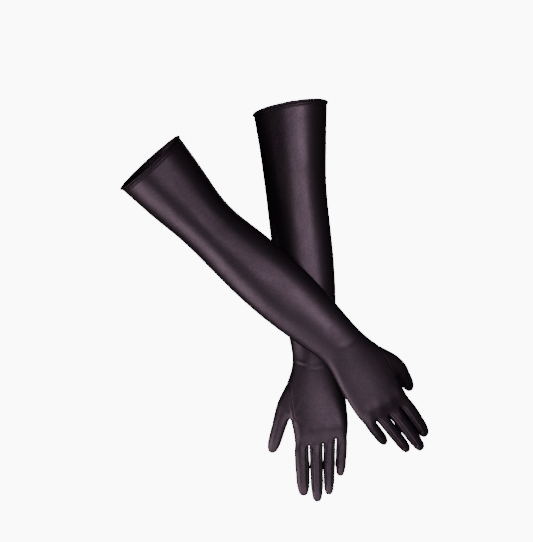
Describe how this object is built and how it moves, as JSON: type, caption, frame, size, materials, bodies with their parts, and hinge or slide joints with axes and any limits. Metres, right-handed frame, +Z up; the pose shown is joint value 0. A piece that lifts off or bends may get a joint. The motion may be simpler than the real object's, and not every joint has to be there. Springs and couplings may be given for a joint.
{
  "type": "pair of opera gloves",
  "caption": "Pair of over-elbow stretch satin opera gloves, worn shape, crossed at the forearms, with inset thumbs, fourchettes and folded elastic hems.",
  "frame": {"origin": "centre of the left glove's arm opening", "axes": "+Z up towards the wearer's shoulders, -Y out of the backs of the hands towards the viewer, +X towards the left glove's side"},
  "size_m": [0.4419, 0.1447, 0.579],
  "materials": {
    "stretch_fabric": "satin stretch knit, near black with a purple cast",
    "fourchette_fabric": "satin stretch knit, near black",
    "hem_fabric": "folded satin stretch knit with twin-needle stitching",
    "elastic": "woven elastic tape"
  },
  "bodies": {
    "left_upper_sleeve": {"left_hem_band": "hem_fabric", "left_hem_elastic": "elastic", "left_upper_arm_back_panel": "stretch_fabric", "left_upper_arm_palm_panel": "stretch_fabric", "left_elbow_sleeve": "stretch_fabric"},
    "left_forearm_sleeve": {"left_forearm_back_panel": "stretch_fabric", "left_forearm_palm_panel": "stretch_fabric", "left_wrist_sleeve": "stretch_fabric"},
    "left_hand": {"left_hand_back_panel": "stretch_fabric", "left_hand_palm_panel": "stretch_fabric", "left_thumb_gusset": "stretch_fabric", "left_thumb_root": "stretch_fabric", "left_index_root": "stretch_fabric", "left_middle_root": "stretch_fabric", "left_ring_root": "stretch_fabric", "left_little_root": "stretch_fabric"},
    "left_thumb": {"left_thumb_back_panel": "stretch_fabric", "left_thumb_palm_panel": "stretch_fabric"},
    "left_index": {"left_index_fourchette_little_side": "fourchette_fabric", "left_index_stall": "stretch_fabric"},
    "left_middle": {"left_middle_fourchette_little_side": "fourchette_fabric", "left_middle_fourchette_thumb_side": "fourchette_fabric", "left_middle_stall": "stretch_fabric"},
    "left_ring": {"left_ring_fourchette_little_side": "fourchette_fabric", "left_ring_fourchette_thumb_side": "fourchette_fabric", "left_ring_stall": "stretch_fabric"},
    "left_little": {"left_little_fourchette_thumb_side": "fourchette_fabric", "left_little_stall": "stretch_fabric"},
    "right_upper_sleeve": {"right_hem_band": "hem_fabric", "right_hem_elastic": "elastic", "right_upper_arm_back_panel": "stretch_fabric", "right_upper_arm_palm_panel": "stretch_fabric", "right_elbow_sleeve": "stretch_fabric"},
    "right_forearm_sleeve": {"right_forearm_back_panel": "stretch_fabric", "right_forearm_palm_panel": "stretch_fabric", "right_wrist_sleeve": "stretch_fabric"},
    "right_hand": {"right_hand_back_panel": "stretch_fabric", "right_hand_palm_panel": "stretch_fabric", "right_thumb_gusset": "stretch_fabric", "right_thumb_root": "stretch_fabric", "right_index_root": "stretch_fabric", "right_middle_root": "stretch_fabric", "right_ring_root": "stretch_fabric", "right_little_root": "stretch_fabric"},
    "right_thumb": {"right_thumb_back_panel": "stretch_fabric", "right_thumb_palm_panel": "stretch_fabric"},
    "right_index": {"right_index_fourchette_little_side": "fourchette_fabric", "right_index_stall": "stretch_fabric"},
    "right_middle": {"right_middle_fourchette_little_side": "fourchette_fabric", "right_middle_fourchette_thumb_side": "fourchette_fabric", "right_middle_stall": "stretch_fabric"},
    "right_ring": {"right_ring_fourchette_little_side": "fourchette_fabric", "right_ring_fourchette_thumb_side": "fourchette_fabric", "right_ring_stall": "stretch_fabric"},
    "right_little": {"right_little_fourchette_thumb_side": "fourchette_fabric", "right_little_stall": "stretch_fabric"}
  },
  "joints": [
    {"name": "right_glove_lift_off", "type": "slide", "parent": "left_upper_sleeve", "child": "right_upper_sleeve", "axis": [0, -1, 0], "range_m": [0, 0.2]},
    {"name": "left_elbow", "type": "hinge", "parent": "left_upper_sleeve", "child": "left_forearm_sleeve", "pos_m": [0.00649, 0, -0.11974], "axis": [0.4965, -0.866, 0.0588], "range_deg": [0, 100], "deforming": ["left_elbow_sleeve"]},
    {"name": "left_wrist", "type": "hinge", "parent": "left_forearm_sleeve", "child": "left_hand", "pos_m": [0.03566, 0, -0.36602], "axis": [0.9978, 0, 0.0663], "range_deg": [0, 70], "deforming": ["left_wrist_sleeve"]},
    {"name": "left_thumb_base", "type": "hinge", "parent": "left_hand", "child": "left_thumb", "pos_m": [-0.01572, 0.00984, -0.4518], "axis": [0.0304, 0.9881, 0.1507], "range_deg": [0, 30], "deforming": ["left_thumb_root"]},
    {"name": "left_index_knuckle", "type": "hinge", "parent": "left_hand", "child": "left_index", "pos_m": [0.01493, 0.0052, -0.49392], "axis": [0.9988, 0.0009, 0.0489], "range_deg": [0, 75], "deforming": ["left_index_root"]},
    {"name": "left_middle_knuckle", "type": "hinge", "parent": "left_hand", "child": "left_middle", "pos_m": [0.03596, 0.00372, -0.49358], "axis": [0.9996, 0.002, 0.028], "range_deg": [0, 75], "deforming": ["left_middle_root"]},
    {"name": "left_ring_knuckle", "type": "hinge", "parent": "left_hand", "child": "left_ring", "pos_m": [0.05477, 0.00459, -0.48827], "axis": [1, 0.0036, -0.0017], "range_deg": [0, 75], "deforming": ["left_ring_root"]},
    {"name": "left_little_knuckle", "type": "hinge", "parent": "left_hand", "child": "left_little", "pos_m": [0.07295, 0.00642, -0.48095], "axis": [0.9991, 0.0057, -0.0417], "range_deg": [0, 75], "deforming": ["left_little_root"]},
    {"name": "right_elbow", "type": "hinge", "parent": "right_upper_sleeve", "child": "right_forearm_sleeve", "pos_m": [-0.12076, -0.052, -0.16859], "axis": [-0.4713, -0.7071, -0.5271], "range_deg": [0, 100], "deforming": ["right_elbow_sleeve"]},
    {"name": "right_wrist", "type": "hinge", "parent": "right_forearm_sleeve", "child": "right_hand", "pos_m": [0.075, -0.052, -0.34362], "axis": [-0.7536, -0.3023, -0.5838], "range_deg": [0, 60], "deforming": ["right_wrist_sleeve"]},
    {"name": "right_thumb_base", "type": "hinge", "parent": "right_hand", "child": "right_thumb", "pos_m": [0.15727, -0.00841, -0.37745], "axis": [0.6863, -0.6077, -0.3996], "range_deg": [0, 30], "deforming": ["right_thumb_root"]},
    {"name": "right_index_knuckle", "type": "hinge", "parent": "right_hand", "child": "right_index", "pos_m": [0.16531, -0.0138, -0.42823], "axis": [0.6922, 0.2419, 0.68], "range_deg": [0, 75], "deforming": ["right_index_root"]},
    {"name": "right_middle_knuckle", "type": "hinge", "parent": "right_hand", "child": "right_middle", "pos_m": [0.15088, -0.02184, -0.44136], "axis": [0.6747, 0.238, 0.6987], "range_deg": [0, 75], "deforming": ["right_middle_root"]},
    {"name": "right_ring_knuckle", "type": "hinge", "parent": "right_hand", "child": "right_ring", "pos_m": [0.13363, -0.02713, -0.44918], "axis": [0.6642, 0.2184, 0.715], "range_deg": [0, 75], "deforming": ["right_ring_root"]},
    {"name": "right_little_knuckle", "type": "hinge", "parent": "right_hand", "child": "right_little", "pos_m": [0.11458, -0.03084, -0.45472], "axis": [0.6667, 0.1723, 0.7252], "range_deg": [0, 75], "deforming": ["right_little_root"]}
  ]
}
